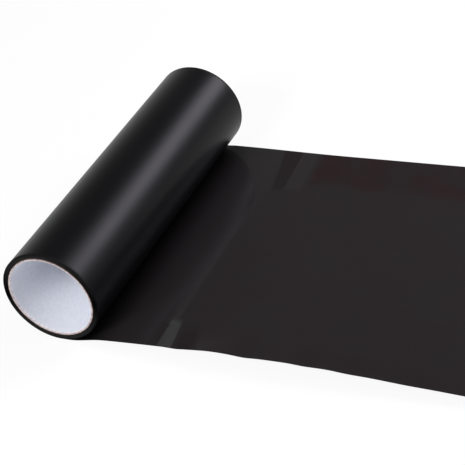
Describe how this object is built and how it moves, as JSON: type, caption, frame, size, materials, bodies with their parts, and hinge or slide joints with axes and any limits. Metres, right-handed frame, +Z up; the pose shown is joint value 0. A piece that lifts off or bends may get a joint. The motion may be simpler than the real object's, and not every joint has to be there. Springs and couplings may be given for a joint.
{
  "type": "sign vinyl roll",
  "caption": "Roll of black sign vinyl on a thin paper core, with its web laid out flat from under the roll and a liner that peels at the free end.",
  "frame": {"origin": "centre of the core's bore, halfway along the core; the table is one roll radius below it", "axes": "+Y along the core's bore, +X the way the web is laid out from under the roll, +Z up"},
  "size_m": [0.5062, 0.305, 0.0884],
  "materials": {
    "lining_paper": "smooth white lining paper",
    "core_board": "plain tan board",
    "tape": "double-sided tissue tape",
    "face_film": "satin black film",
    "liner": "clear gloss liner, dark over the film"
  },
  "bodies": {
    "laid_web": {"laid_face_film": "face_film", "laid_liner": "liner", "lead_face_film": "face_film"},
    "outer_turn": {"outer_turn_film": "face_film", "outer_turn_liner": "liner"},
    "roll": {"core_lining_ply": "lining_paper", "core_inner_board": "core_board", "core_outer_board": "core_board", "core_wrap_ply": "core_board", "start_tape": "tape", "wound_web": "face_film"},
    "lead_liner": {"lead_liner": "liner"}
  },
  "joints": [
    {"name": "roll_travel", "type": "slide", "parent": "laid_web", "child": "outer_turn", "axis": [-1, 0, 0], "range_m": [-0.1385, 0.277], "deforming": ["laid_face_film", "laid_liner"]},
    {"name": "roll_turn", "type": "hinge", "parent": "outer_turn", "child": "roll", "pos_m": [0, 0, 0], "axis": [0, -1, 0], "range_deg": [-180, 360]},
    {"name": "liner_peel", "type": "hinge", "parent": "laid_web", "child": "lead_liner", "pos_m": [0.402, 0, -0.04396], "axis": [0, -1, 0], "range_deg": [0, 150]}
  ],
  "couplings": [
    {"joint": "roll_turn", "follows": "roll_travel", "rad_per_m": 22.678}
  ]
}
